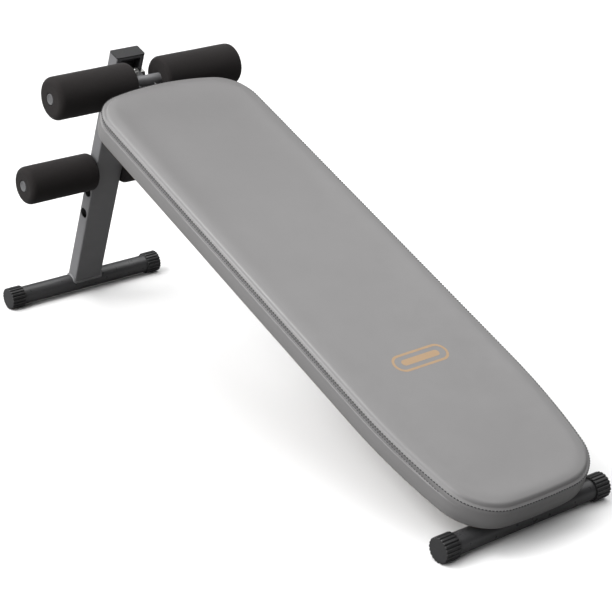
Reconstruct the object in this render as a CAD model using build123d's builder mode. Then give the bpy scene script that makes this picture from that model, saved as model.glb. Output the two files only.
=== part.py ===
"""Decline sit up bench: a padded beam on two tube feet, with a post that folds under the pad.

Frame: +Z up, floor at Z = 0, X across the bench, Y along it with the raised end at +Y.
The origin is on the floor, in the middle of the bench's outline. Millimetres.
"""

from build123d import *
from math import cos, radians, sin, sqrt
import os

# ---------------------------------------------------------------- driving dimensions

# Feet: round tubes with ribbed end caps that rest on the floor
FOOT_TUBE_RADIUS = 19.0
FOOT_TUBE_WALL = 2.0
FOOT_HALF_WIDTH = 187.5
FOOT_CAP_RADIUS = 23.0
FOOT_CAP_LENGTH = 32.0
FOOT_CAP_END = 3.0
FOOT_CAP_RIBS = 20
FOOT_CAP_GROOVE_WIDTH = 1.8
FOOT_CAP_GROOVE_DEPTH = 1.3
FOOT_CAP_CHAMFER = 1.6
FOOT_CAP_SLACK = 0.1
FOOT_CAP_FLAT_DEPTH = 0.1
FOOT_AXIS_HEIGHT = FOOT_CAP_RADIUS - FOOT_CAP_FLAT_DEPTH
REAR_FOOT_Y = 698.15
FRONT_FOOT_Y = -669.85

# Post: rectangular tube leaning forward over the rear foot
POST_LEAN = 20.8
POST_WIDTH = 66.0
POST_DEPTH = 30.0
POST_WALL = 2.0
POST_CORNER = 3.0
POST_LENGTH = 586.3
WINDOW_WIDTH = 62.0
WINDOW_BOTTOM_BELOW_PIVOT = 115.0
WINDOW_TOP_ABOVE_PIVOT = 22.0
HEAD_SLOT_WIDTH = 49.0
HEAD_SLOT_CORNER = 5.0
LINTEL_HEIGHT = 4.5

# Post top cap: a plate with a skirt that plugs the tube
CAP_PLATE = 2.5
CAP_SKIRT_DEPTH = 9.0
CAP_SKIRT_WALL = 2.0
CAP_SLACK = 0.1

# Roller bars and the holes that take the lower one
BAR_RADIUS = 11.0
BAR_WALL = 1.5
BAR_HOLE_SLACK = 0.15
LOWER_BAR_HEIGHT = 301.5
HOLE_PITCH = 55.0
HOLE_COUNT = 3
PLUG_FLANGE = 2.0
PLUG_SPIGOT_LENGTH = 12.0
PLUG_CHAMFER = 0.6
UPPER_BAR_HALF = 213.5
LOWER_BAR_HALF = 194.5
UPPER_BAR_PAST_PAD = 48.0
UPPER_BAR_DROP = 28.0

# Foam rollers
FOAM_BORE_SLACK = 0.3
FOAM_END_SLACK = 0.5
UPPER_FOAM_RADIUS = 43.0
LOWER_FOAM_RADIUS = 39.5
FOAM_INNER_X = 34.5
FOAM_EDGE = 9.0

# Pad: seam plane through PAD_CENTRE, sloping down towards the front foot
PAD_SLOPE = 22.4
PAD_CENTRE_Y = -172.35
PAD_CENTRE_Z = 307.0
PAD_HALF_LENGTH = 595.5
PAD_HALF_WIDTH = 176.0
PAD_CROWN = 5.0
PAD_DEPTH = 45.0
PAD_TOP_EDGE = 12.0
PAD_BOTTOM_EDGE = 3.0
HIGH_END_BOW = 530.0
HIGH_CORNER = 82.0
LOW_END_BOW = 1125.0
LOW_CORNER = 97.0
TAPER_START = -300.0
TAPER_RADIUS = 1150.0
COVER_THICKNESS = 1.3
COVER_UNDER_MARGIN = 30.0
BOARD_THICKNESS = 12.0
FILLING_SLACK = 0.2

# Main beam and the pad's brackets on it
BEAM_WIDTH = 60.0
BEAM_HEIGHT = 30.0
BEAM_WALL = 2.0
BEAM_CORNER = 3.0
BRACKET_THICKNESS = 3.0
BRACKET_LENGTH = 240.0
BRACKET_WIDTH = 45.0
BRACKET_CORNER = 6.0
BRACKET_PLACES = {"front": -330.0, "rear": 330.0}
SCREW_HALF_SPACING = 95.0

# Upper roller bar saddle
SADDLE_WIDTH = 40.0
SADDLE_THICKNESS = 3.0
SADDLE_EAR_HALF_LENGTH = 17.0
SADDLE_FRONT = 17.0
SADDLE_BOLT_HALF_SPACING = 10.0
SADDLE_BOLT_BEFORE_PIVOT = 17.0
SADDLE_TAIL_PAST_BOLT = 9.0

# Pivot in the head of the post
PIVOT_FORWARD = 5.0
PIVOT_RADIUS = 5.0
PIVOT_RUNNING_SLACK = 0.05
PIVOT_HOLE_SLACK = 0.2
SLEEVE_RADIUS = 8.0
SLEEVE_HALF_LENGTH = 30.6

# Standard fasteners: across flats, head height, nut height, washer radius and thickness
M10 = {"flats": 17.0, "head": 6.4, "nut": 10.0, "washer": 10.0, "sheet": 2.0}
M8 = {"flats": 13.0, "head": 5.3, "nut": 6.5, "washer": 8.0, "sheet": 1.6}
M8_RADIUS = 4.0
M6_RADIUS = 3.0
M6_FLATS = 10.0
M6_HEAD = 4.0
THREAD_PAST_NUT = 4.0
BOLT_HOLE_SLACK = 0.3
TEE_NUT_BARREL = 4.0
TEE_NUT_FLANGE = 9.0
TEE_NUT_FLANGE_THICKNESS = 1.2
TEE_NUT_SLACK = 0.1
SCREW_END_CLEARANCE = 1.0

# ---------------------------------------------------------------- shared places

ACROSS = Vector(1, 0, 0)
POST_UP = Vector(0, -sin(radians(POST_LEAN)), cos(radians(POST_LEAN)))
POST_BACK = Vector(0, cos(radians(POST_LEAN)), sin(radians(POST_LEAN)))
PAD_ALONG = Vector(0, cos(radians(PAD_SLOPE)), sin(radians(PAD_SLOPE)))
PAD_NORMAL = Vector(0, -sin(radians(PAD_SLOPE)), cos(radians(PAD_SLOPE)))

REAR_FOOT = Vector(0, REAR_FOOT_Y, FOOT_AXIS_HEIGHT)
FRONT_FOOT = Vector(0, FRONT_FOOT_Y, FOOT_AXIS_HEIGHT)
PAD_CENTRE = Vector(0, PAD_CENTRE_Y, PAD_CENTRE_Z)

# Post planes: its section, and its side seen with X = back and Y = up the post
POST_SECTION = Plane(origin=REAR_FOOT, x_dir=ACROSS, z_dir=POST_UP)
POST_SIDE = Plane(origin=REAR_FOOT, x_dir=POST_BACK, z_dir=ACROSS)
POST_FRONT = Plane(origin=REAR_FOOT, x_dir=ACROSS, z_dir=-POST_BACK)

# Pad planes: its seam plane, and its side seen with X = up the slope and Y = out of the pad
PAD_PLANE = Plane(origin=PAD_CENTRE, x_dir=ACROSS, z_dir=PAD_NORMAL)
PAD_SIDE = Plane(origin=PAD_CENTRE, x_dir=PAD_ALONG, z_dir=ACROSS)
PAD_SECTION = Plane(origin=PAD_CENTRE, x_dir=ACROSS, z_dir=PAD_ALONG)

# Levels along the pad's normal, from the seam plane
BOARD_BOTTOM = COVER_THICKNESS - PAD_DEPTH
BOARD_TOP = BOARD_BOTTOM + BOARD_THICKNESS
BEAM_TOP = BOARD_BOTTOM - BRACKET_THICKNESS
BEAM_AXIS = BEAM_TOP - BEAM_HEIGHT / 2


def slope_place(point):
    """Distance up the slope and out of the pad of a point in space."""
    offset = point - PAD_CENTRE
    return offset.dot(PAD_ALONG), offset.dot(PAD_NORMAL)


# The pivot lies on the beam's centre line, PIVOT_FORWARD before the post's centre line
PIVOT_LINE_FOOT = REAR_FOOT - POST_BACK * PIVOT_FORWARD
PIVOT_HEIGHT = (BEAM_AXIS - slope_place(PIVOT_LINE_FOOT)[1]) / POST_UP.dot(PAD_NORMAL)
PIVOT = PIVOT_LINE_FOOT + POST_UP * PIVOT_HEIGHT
PIVOT_ALONG = slope_place(PIVOT)[0]
FRONT_FOOT_ALONG = slope_place(FRONT_FOOT)[0]

UPPER_BAR_ALONG = PAD_HALF_LENGTH + UPPER_BAR_PAST_PAD
UPPER_BAR = PAD_CENTRE + PAD_ALONG * UPPER_BAR_ALONG - PAD_NORMAL * UPPER_BAR_DROP
LOWER_BAR = REAR_FOOT + POST_UP * LOWER_BAR_HEIGHT

SADDLE_BOLT_ALONG = PIVOT_ALONG - SADDLE_BOLT_BEFORE_PIVOT
SADDLE_TOP = BEAM_TOP + SADDLE_THICKNESS


def across_plane(centre, start_x):
    """A plane square to X through start_x, centred on a line across the bench."""
    return Plane(origin=centre + ACROSS * start_x, x_dir=(0, 1, 0), z_dir=ACROSS)


def finish(builder, name):
    """Label a finished piece and write its STEP file."""
    builder.part.label = name
    export_step(builder.part, f"parts/{name}.step")


def tube_across(name, centre, half_length, radius, wall):
    """A round tube across the bench."""
    with BuildPart() as tube:
        with BuildSketch(across_plane(centre, -half_length)):
            Circle(radius)
            Circle(radius - wall, mode=Mode.SUBTRACT)
        extrude(amount=2 * half_length)
    finish(tube, name)


def foot_cap(name, centre, side):
    """A ribbed cap pushed over one end of a foot tube, with a narrow flat where it stands."""
    end = Plane(origin=centre + ACROSS * (side * FOOT_HALF_WIDTH), x_dir=(0, 1, 0), z_dir=ACROSS * -side)
    half_rib = 180.0 / FOOT_CAP_RIBS
    with BuildPart() as cap:
        with BuildSketch(end):
            Circle(FOOT_CAP_RADIUS)
        extrude(amount=FOOT_CAP_LENGTH)
        chamfer(cap.edges().filter_by(GeomType.CIRCLE), length=FOOT_CAP_CHAMFER)
        with BuildSketch(end):
            with PolarLocations(FOOT_CAP_RADIUS, FOOT_CAP_RIBS, start_angle=half_rib):
                Rectangle(2 * FOOT_CAP_GROOVE_DEPTH, FOOT_CAP_GROOVE_WIDTH)
        extrude(amount=FOOT_CAP_LENGTH, mode=Mode.SUBTRACT)
        with BuildSketch(end.offset(FOOT_CAP_END)):
            Circle(FOOT_TUBE_RADIUS + FOOT_CAP_SLACK)
        extrude(amount=FOOT_CAP_LENGTH, mode=Mode.SUBTRACT)
        split(bisect_by=Plane.XY, keep=Keep.TOP)
    finish(cap, name)


def post_tube():
    """The post: coped over the rear foot, with three bar holes and an open-fronted head."""
    through = POST_WIDTH
    head_middle = PIVOT_HEIGHT + WINDOW_TOP_ABOVE_PIVOT
    window_bottom = PIVOT_HEIGHT - WINDOW_BOTTOM_BELOW_PIVOT
    slot_top = POST_LENGTH - LINTEL_HEIGHT
    with BuildPart() as post:
        with BuildSketch(POST_SECTION):
            RectangleRounded(POST_WIDTH, POST_DEPTH, POST_CORNER)
            RectangleRounded(
                POST_WIDTH - 2 * POST_WALL,
                POST_DEPTH - 2 * POST_WALL,
                POST_CORNER - POST_WALL,
                mode=Mode.SUBTRACT,
            )
        extrude(amount=POST_LENGTH)
        with BuildSketch(across_plane(REAR_FOOT, -through)):
            Circle(FOOT_TUBE_RADIUS)
        extrude(amount=2 * through, mode=Mode.SUBTRACT)
        with BuildSketch(POST_SECTION):
            Rectangle(POST_WIDTH, POST_DEPTH)
        extrude(amount=FOOT_TUBE_RADIUS / 2, mode=Mode.SUBTRACT)
        with BuildSketch(POST_SIDE.offset(-through)):
            with Locations(*[(0, LOWER_BAR_HEIGHT - n * HOLE_PITCH) for n in range(HOLE_COUNT)]):
                Circle(BAR_RADIUS + BAR_HOLE_SLACK)
            with Locations((-PIVOT_FORWARD, PIVOT_HEIGHT)):
                Circle(PIVOT_RADIUS + PIVOT_HOLE_SLACK)
        extrude(amount=2 * through, mode=Mode.SUBTRACT)
        with BuildSketch(POST_FRONT):
            with Locations((0, (window_bottom + head_middle) / 2)):
                Rectangle(WINDOW_WIDTH, head_middle - window_bottom)
            with Locations((0, (PIVOT_HEIGHT + slot_top) / 2)):
                RectangleRounded(HEAD_SLOT_WIDTH, slot_top - PIVOT_HEIGHT, HEAD_SLOT_CORNER)
        extrude(amount=POST_DEPTH, mode=Mode.SUBTRACT)
    finish(post, "post_tube")


def post_top_cap():
    """A flat cap on the post, with a skirt inside the tube's walls."""
    skirt_width = POST_WIDTH - 2 * POST_WALL - 2 * CAP_SLACK
    skirt_depth = POST_DEPTH - 2 * POST_WALL - 2 * CAP_SLACK
    with BuildPart() as cap:
        with BuildSketch(POST_SECTION.offset(POST_LENGTH)):
            RectangleRounded(POST_WIDTH, POST_DEPTH, POST_CORNER)
        extrude(amount=CAP_PLATE)
        with BuildSketch(POST_SECTION.offset(POST_LENGTH)):
            RectangleRounded(skirt_width, skirt_depth, POST_CORNER - POST_WALL)
            Rectangle(
                skirt_width - 2 * CAP_SKIRT_WALL,
                skirt_depth - 2 * CAP_SKIRT_WALL,
                mode=Mode.SUBTRACT,
            )
        extrude(amount=-CAP_SKIRT_DEPTH)
    finish(cap, "post_top_cap")


def bar_plug(name, centre, side, half_length):
    """A plastic plug in one end of a roller bar."""
    end = Plane(origin=centre + ACROSS * (side * half_length), x_dir=(0, 1, 0), z_dir=ACROSS * side)
    with BuildPart() as plug:
        with BuildSketch(end):
            Circle(BAR_RADIUS)
        extrude(amount=PLUG_FLANGE)
        outer_rim = plug.edges().filter_by(GeomType.CIRCLE).sort_by(Axis.X)[-1 if side > 0 else 0]
        chamfer(outer_rim, length=PLUG_CHAMFER)
        with BuildSketch(end):
            Circle(BAR_RADIUS - BAR_WALL - FOOT_CAP_SLACK)
        extrude(amount=-PLUG_SPIGOT_LENGTH)
    finish(plug, name)


def foam_roller(name, centre, side, outer_x, radius):
    """A foam roller that turns on its bar, with rounded shoulders."""
    start = Plane(origin=centre + ACROSS * (side * FOAM_INNER_X), x_dir=(0, 1, 0), z_dir=ACROSS * side)
    with BuildPart() as foam:
        with BuildSketch(start):
            Circle(radius)
        extrude(amount=outer_x - FOAM_INNER_X)
        fillet(foam.edges().filter_by(GeomType.CIRCLE), radius=FOAM_EDGE)
        with BuildSketch(start):
            Circle(BAR_RADIUS + FOAM_BORE_SLACK)
        extrude(amount=outer_x - FOAM_INNER_X, mode=Mode.SUBTRACT)
    finish(foam, name)


def crossing(centre_a, radius_a, centre_b, radius_b):
    """Where two circles cross, to the left of the line from centre a to centre b."""
    line = centre_b - centre_a
    along = (radius_a**2 - radius_b**2 + line.length**2) / (2 * line.length)
    aside = sqrt(radius_a**2 - along**2)
    direction = line.normalized()
    return centre_a + direction * along + Vector(-direction.Y, direction.X) * aside


def pad_outline(level, inset):
    """The pad's outline at a level on its normal, drawn in by an inset."""
    side = PAD_HALF_WIDTH - inset
    end = PAD_HALF_LENGTH - inset
    high_bow = HIGH_END_BOW - inset
    high_corner = end - high_bow + sqrt(high_bow**2 - side**2)
    taper_centre = Vector(PAD_HALF_WIDTH - TAPER_RADIUS, TAPER_START)
    low_centre = Vector(0, LOW_END_BOW - PAD_HALF_LENGTH)
    low = crossing(low_centre, LOW_END_BOW - inset, taper_centre, TAPER_RADIUS - inset)
    with BuildSketch(PAD_PLANE.offset(level)) as outline:
        with BuildLine():
            ThreePointArc((-side, high_corner), (0, end), (side, high_corner))
            Line((side, high_corner), (side, TAPER_START))
            RadiusArc((side, TAPER_START), (low.X, low.Y), TAPER_RADIUS - inset)
            ThreePointArc((low.X, low.Y), (0, -end), (-low.X, low.Y))
            RadiusArc((-low.X, low.Y), (-side, TAPER_START), TAPER_RADIUS - inset)
            Line((-side, TAPER_START), (-side, high_corner))
        make_face()
        fillet(outline.vertices().group_by(Axis.Y)[-1], radius=HIGH_CORNER - inset)
        fillet(outline.vertices().group_by(Axis.Y)[0], radius=LOW_CORNER - inset)
    return outline.sketch


def pad_body(inset):
    """The closed pad form, drawn in all round by an inset."""
    with BuildPart() as body:
        extrude(pad_outline(inset - PAD_DEPTH, inset), amount=PAD_DEPTH + PAD_CROWN - 2 * inset)
        top_face = body.faces().sort_by(Axis(PAD_CENTRE, PAD_NORMAL))[-1]
        fillet(top_face.edges(), radius=PAD_TOP_EDGE - inset)
    return body.part


def pad_pieces():
    """Cover, foam and board: one inside the other."""
    mouth = pad_outline(-PAD_DEPTH - COVER_THICKNESS, COVER_UNDER_MARGIN)
    with BuildPart() as cover:
        add(pad_body(0))
        bottom_face = cover.faces().sort_by(Axis(PAD_CENTRE, PAD_NORMAL))[0]
        fillet(bottom_face.edges(), radius=PAD_BOTTOM_EDGE)
        add(pad_body(COVER_THICKNESS), mode=Mode.SUBTRACT)
        extrude(mouth, amount=3 * COVER_THICKNESS, mode=Mode.SUBTRACT)
    finish(cover, "pad_cover")

    sides = (-SCREW_HALF_SPACING, SCREW_HALF_SPACING)
    screw_places = [(x, along) for along in BRACKET_PLACES.values() for x in sides]
    with BuildPart() as board:
        extrude(pad_outline(BOARD_BOTTOM, COVER_THICKNESS + FILLING_SLACK), amount=BOARD_THICKNESS)
        with BuildSketch(PAD_PLANE.offset(BOARD_BOTTOM)):
            with Locations(*screw_places):
                Circle(TEE_NUT_BARREL + TEE_NUT_SLACK)
        extrude(amount=BOARD_THICKNESS, mode=Mode.SUBTRACT)
        with BuildSketch(PAD_PLANE.offset(BOARD_TOP - TEE_NUT_FLANGE_THICKNESS - TEE_NUT_SLACK)):
            with Locations(*screw_places):
                Circle(TEE_NUT_FLANGE + TEE_NUT_SLACK)
        extrude(amount=BOARD_THICKNESS, mode=Mode.SUBTRACT)
    finish(board, "pad_board")

    with BuildPart() as foam:
        foam_depth = PAD_CROWN - COVER_THICKNESS - FILLING_SLACK - BOARD_TOP
        extrude(pad_outline(BOARD_TOP, COVER_THICKNESS + FILLING_SLACK), amount=foam_depth)
        top_face = foam.faces().sort_by(Axis(PAD_CENTRE, PAD_NORMAL))[-1]
        fillet(top_face.edges(), radius=PAD_TOP_EDGE - COVER_THICKNESS)
    finish(foam, "pad_foam")

    with BuildPart() as tee_nuts:
        with BuildSketch(PAD_PLANE.offset(BOARD_BOTTOM + SCREW_END_CLEARANCE)):
            with Locations(*screw_places):
                Circle(TEE_NUT_BARREL)
        extrude(amount=BOARD_THICKNESS - SCREW_END_CLEARANCE - TEE_NUT_SLACK)
        with BuildSketch(PAD_PLANE.offset(BOARD_TOP - TEE_NUT_SLACK)):
            with Locations(*screw_places):
                Circle(TEE_NUT_FLANGE)
        extrude(amount=-TEE_NUT_FLANGE_THICKNESS)
        with BuildSketch(PAD_PLANE.offset(BOARD_BOTTOM)):
            with Locations(*screw_places):
                Circle(M6_RADIUS + TEE_NUT_SLACK)
        extrude(amount=BOARD_THICKNESS, mode=Mode.SUBTRACT)
    finish(tee_nuts, "pad_tee_nuts")

    with BuildPart() as screws:
        with BuildSketch(PAD_PLANE.offset(BEAM_TOP)):
            with Locations(*screw_places):
                RegularPolygon(M6_FLATS / 2, 6, major_radius=False)
        extrude(amount=-M6_HEAD)
        with BuildSketch(PAD_PLANE.offset(BEAM_TOP)):
            with Locations(*screw_places):
                Circle(M6_RADIUS)
        extrude(amount=BRACKET_THICKNESS + BOARD_THICKNESS - SCREW_END_CLEARANCE)
    finish(screws, "pad_screws")


def pad_bracket(name, along):
    """A flat cross plate welded on the beam, drilled for two screws."""
    with BuildPart() as bracket:
        with BuildSketch(PAD_PLANE.offset(BEAM_TOP)):
            with Locations((0, along)):
                RectangleRounded(BRACKET_LENGTH, BRACKET_WIDTH, BRACKET_CORNER)
            with Locations((-SCREW_HALF_SPACING, along), (SCREW_HALF_SPACING, along)):
                Circle(M6_RADIUS + BOLT_HOLE_SLACK, mode=Mode.SUBTRACT)
        extrude(amount=BRACKET_THICKNESS)
    finish(bracket, name)


def main_beam():
    """The beam under the pad: coped on the front foot, with a rounded end about the pivot."""
    length = PIVOT_ALONG + BEAM_HEIGHT / 2 - FRONT_FOOT_ALONG
    start = Plane(
        origin=PAD_CENTRE + PAD_ALONG * FRONT_FOOT_ALONG + PAD_NORMAL * BEAM_AXIS,
        x_dir=ACROSS,
        z_dir=PAD_ALONG,
    )
    bolt_places = [(x, SADDLE_BOLT_ALONG) for x in (-SADDLE_BOLT_HALF_SPACING, SADDLE_BOLT_HALF_SPACING)]
    with BuildPart() as beam:
        with BuildSketch(start):
            RectangleRounded(BEAM_WIDTH, BEAM_HEIGHT, BEAM_CORNER)
            RectangleRounded(
                BEAM_WIDTH - 2 * BEAM_WALL,
                BEAM_HEIGHT - 2 * BEAM_WALL,
                BEAM_CORNER - BEAM_WALL,
                mode=Mode.SUBTRACT,
            )
        extrude(amount=length)
        with BuildSketch(across_plane(FRONT_FOOT, -BEAM_WIDTH)):
            Circle(FOOT_TUBE_RADIUS)
        extrude(amount=2 * BEAM_WIDTH, mode=Mode.SUBTRACT)
        with BuildSketch(PAD_SIDE.offset(-BEAM_WIDTH)):
            with Locations((PIVOT_ALONG + BEAM_HEIGHT / 4, BEAM_AXIS)):
                Rectangle(BEAM_HEIGHT / 2, BEAM_HEIGHT)
            with Locations((PIVOT_ALONG, BEAM_AXIS)):
                Circle(BEAM_HEIGHT / 2, mode=Mode.SUBTRACT)
                Circle(SLEEVE_RADIUS)
        extrude(amount=2 * BEAM_WIDTH, mode=Mode.SUBTRACT)
        with BuildSketch(PAD_PLANE.offset(BEAM_TOP)):
            with Locations(*bolt_places):
                Circle(M8_RADIUS + BOLT_HOLE_SLACK)
        extrude(amount=-BEAM_HEIGHT / 2, mode=Mode.SUBTRACT)
    finish(beam, "main_beam")


def upper_bar_saddle():
    """A bent plate that cradles the upper roller bar and bolts down on the beam."""
    ear_top = -UPPER_BAR_DROP
    front = UPPER_BAR_ALONG - SADDLE_FRONT
    tail = SADDLE_BOLT_ALONG + SADDLE_TAIL_PAST_BOLT
    bolt_places = [(x, SADDLE_BOLT_ALONG) for x in (-SADDLE_BOLT_HALF_SPACING, SADDLE_BOLT_HALF_SPACING)]
    with BuildPart() as saddle:
        with BuildSketch(PAD_PLANE.offset(BEAM_TOP)):
            with Locations((0, (front + tail) / 2)):
                Rectangle(SADDLE_WIDTH, tail - front)
            with Locations(*bolt_places):
                Circle(M8_RADIUS + BOLT_HOLE_SLACK, mode=Mode.SUBTRACT)
        extrude(amount=SADDLE_THICKNESS)
        with BuildSketch(PAD_PLANE.offset(BEAM_TOP)):
            ear_x = (SADDLE_WIDTH - SADDLE_THICKNESS) / 2
            with Locations((-ear_x, UPPER_BAR_ALONG), (ear_x, UPPER_BAR_ALONG)):
                Rectangle(SADDLE_THICKNESS, 2 * SADDLE_EAR_HALF_LENGTH)
        extrude(amount=ear_top - BEAM_TOP)
        with BuildSketch(across_plane(UPPER_BAR, -SADDLE_WIDTH)):
            Circle(BAR_RADIUS)
        extrude(amount=2 * SADDLE_WIDTH, mode=Mode.SUBTRACT)
    finish(saddle, "upper_bar_saddle")


def saddle_fasteners():
    """Two bolts up through the beam's top wall, with washers and nuts on the saddle."""
    places = [(x, SADDLE_BOLT_ALONG) for x in (-SADDLE_BOLT_HALF_SPACING, SADDLE_BOLT_HALF_SPACING)]
    under_wall = BEAM_TOP - BEAM_WALL
    washer_top = SADDLE_TOP + M8["sheet"]
    nut_top = washer_top + M8["nut"]
    with BuildPart() as bolts:
        with BuildSketch(PAD_PLANE.offset(under_wall)):
            with Locations(*places):
                RegularPolygon(M8["flats"] / 2, 6, major_radius=False)
        extrude(amount=-M8["head"])
        with BuildSketch(PAD_PLANE.offset(under_wall)):
            with Locations(*places):
                Circle(M8_RADIUS)
        extrude(amount=nut_top + THREAD_PAST_NUT - under_wall)
    finish(bolts, "saddle_bolts")
    with BuildPart() as washers:
        with BuildSketch(PAD_PLANE.offset(SADDLE_TOP)):
            with Locations(*places):
                Circle(M8["washer"])
                Circle(M8_RADIUS + BOLT_HOLE_SLACK, mode=Mode.SUBTRACT)
        extrude(amount=M8["sheet"])
    finish(washers, "saddle_washers")
    with BuildPart() as nuts:
        with BuildSketch(PAD_PLANE.offset(washer_top)):
            with Locations(*places):
                RegularPolygon(M8["flats"] / 2, 6, major_radius=False)
                Circle(M8_RADIUS + PIVOT_RUNNING_SLACK, mode=Mode.SUBTRACT)
        extrude(amount=M8["nut"])
    finish(nuts, "saddle_nuts")


def pivot_pieces():
    """Bolt, washers and lock nut on the post, and the sleeve in the beam's end."""
    washer_face = POST_WIDTH / 2 + M10["sheet"]
    side = Plane(origin=PIVOT, x_dir=POST_BACK, z_dir=ACROSS)
    with BuildPart() as bolt:
        with BuildSketch(side.offset(-washer_face)):
            RegularPolygon(M10["flats"] / 2, 6, major_radius=False)
        extrude(amount=-M10["head"])
        with BuildSketch(side.offset(-washer_face)):
            Circle(PIVOT_RADIUS)
        extrude(amount=2 * washer_face + M10["nut"] + THREAD_PAST_NUT / 2)
    finish(bolt, "pivot_bolt")
    with BuildPart() as washers:
        for start in (-washer_face, POST_WIDTH / 2):
            with BuildSketch(side.offset(start)):
                Circle(M10["washer"])
                Circle(PIVOT_RADIUS + PIVOT_HOLE_SLACK, mode=Mode.SUBTRACT)
            extrude(amount=M10["sheet"])
    finish(washers, "pivot_washers")
    with BuildPart() as nut:
        with BuildSketch(side.offset(washer_face)):
            RegularPolygon(M10["flats"] / 2, 6, major_radius=False)
            Circle(PIVOT_RADIUS + PIVOT_RUNNING_SLACK, mode=Mode.SUBTRACT)
        extrude(amount=M10["nut"])
    finish(nut, "pivot_lock_nut")
    tube_across(
        "pivot_sleeve",
        PIVOT,
        SLEEVE_HALF_LENGTH,
        SLEEVE_RADIUS,
        SLEEVE_RADIUS - PIVOT_RADIUS - PIVOT_RUNNING_SLACK,
    )


# ---------------------------------------------------------------- build

os.makedirs("parts", exist_ok=True)

for foot_name, foot_centre in (("rear_foot", REAR_FOOT), ("front_foot", FRONT_FOOT)):
    tube_half = FOOT_HALF_WIDTH - FOOT_CAP_END
    tube_across(f"{foot_name}_tube", foot_centre, tube_half, FOOT_TUBE_RADIUS, FOOT_TUBE_WALL)
    foot_cap(f"{foot_name}_cap_left", foot_centre, -1)
    foot_cap(f"{foot_name}_cap_right", foot_centre, 1)

post_tube()
post_top_cap()

ROLLER_BARS = (
    ("upper", UPPER_BAR, UPPER_BAR_HALF, UPPER_FOAM_RADIUS),
    ("lower", LOWER_BAR, LOWER_BAR_HALF, LOWER_FOAM_RADIUS),
)
for level_name, bar_centre, bar_half, foam_radius in ROLLER_BARS:
    tube_across(f"{level_name}_roller_bar", bar_centre, bar_half, BAR_RADIUS, BAR_WALL)
    for side_name, side_sign in (("left", -1), ("right", 1)):
        bar_plug(f"{level_name}_bar_plug_{side_name}", bar_centre, side_sign, bar_half)
        foam_end = bar_half + PLUG_FLANGE - FOAM_END_SLACK
        foam_roller(f"{level_name}_foam_{side_name}", bar_centre, side_sign, foam_end, foam_radius)

pad_pieces()
for place_name, place_along in BRACKET_PLACES.items():
    pad_bracket(f"pad_bracket_{place_name}", place_along)
main_beam()
upper_bar_saddle()
saddle_fasteners()
pivot_pieces()
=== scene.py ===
import math
import random

import bmesh
import bpy
import numpy as np
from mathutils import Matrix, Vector
from mathutils.bvhtree import BVHTree

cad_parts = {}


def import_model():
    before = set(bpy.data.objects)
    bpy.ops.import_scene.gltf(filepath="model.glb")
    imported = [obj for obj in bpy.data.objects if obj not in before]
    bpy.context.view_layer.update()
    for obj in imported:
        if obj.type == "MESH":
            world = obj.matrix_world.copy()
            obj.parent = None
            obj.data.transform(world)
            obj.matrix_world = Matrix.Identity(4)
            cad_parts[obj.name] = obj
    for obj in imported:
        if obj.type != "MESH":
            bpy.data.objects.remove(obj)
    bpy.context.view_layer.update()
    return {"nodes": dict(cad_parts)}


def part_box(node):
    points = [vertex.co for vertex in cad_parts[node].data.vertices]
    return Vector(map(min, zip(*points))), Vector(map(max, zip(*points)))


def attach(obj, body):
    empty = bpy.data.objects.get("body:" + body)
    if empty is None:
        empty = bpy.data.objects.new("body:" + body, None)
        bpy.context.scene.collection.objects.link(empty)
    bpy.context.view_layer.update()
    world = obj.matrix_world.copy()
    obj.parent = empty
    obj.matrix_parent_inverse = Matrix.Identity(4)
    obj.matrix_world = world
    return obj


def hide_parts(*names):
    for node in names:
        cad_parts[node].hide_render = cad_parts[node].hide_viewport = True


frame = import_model()

MM = 0.001
nodes = frame["nodes"]
rng = random.Random(7)

# ------------------------------------------------------------------ the part's own planes

PAD_SLOPE = math.radians(22.4)
PAD_CENTRE = Vector((0.0, -0.17235, 0.307))
PAD_ALONG = Vector((0.0, math.cos(PAD_SLOPE), math.sin(PAD_SLOPE)))
PAD_NORMAL = Vector((0.0, -math.sin(PAD_SLOPE), math.cos(PAD_SLOPE)))
POST_LEAN = math.radians(20.8)
POST_UP = Vector((0.0, -math.sin(POST_LEAN), math.cos(POST_LEAN)))
POST_BACK = Vector((0.0, math.cos(POST_LEAN), math.sin(POST_LEAN)))
ACROSS = Vector((1.0, 0.0, 0.0))


def middle(node):
    """The middle of a CAD node's box."""
    low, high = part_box(node)
    return (low + high) / 2


REAR_FOOT = middle("rear_foot_tube")
FRONT_FOOT = middle("front_foot_tube")
FOOT_RADIUS = 19.0


def pad_point(x, along, out):
    """A point from the pad's own millimetres: across, up the slope, out of the top."""
    return PAD_CENTRE + ACROSS * (x * MM) + PAD_ALONG * (along * MM) + PAD_NORMAL * (out * MM)


def post_point(x, back, up):
    """A point from the post's own millimetres: across, backwards, up the post."""
    return REAR_FOOT + ACROSS * (x * MM) + POST_BACK * (back * MM) + POST_UP * (up * MM)


# ------------------------------------------------------------------ mesh helpers


def new_object(name, verts, faces, material=None, body=None, smooth=True):
    """A mesh object from plain lists, riding on a body."""
    mesh = bpy.data.meshes.new(name)
    mesh.from_pydata([tuple(v) for v in verts], [], faces)
    mesh.validate()
    obj = bpy.data.objects.new(name, mesh)
    bpy.context.scene.collection.objects.link(obj)
    if smooth:
        mesh.polygons.foreach_set("use_smooth", [True] * len(mesh.polygons))
    if material is not None:
        mesh.materials.append(material)
    if body is not None:
        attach(obj, body)
    return obj


def ring_faces(count, ring_a, ring_b):
    """Quads between two closed rings that start at the given vertex numbers."""
    faces = []
    for i in range(count):
        j = (i + 1) % count
        faces.append((ring_a + i, ring_a + j, ring_b + j, ring_b + i))
    return faces


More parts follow.
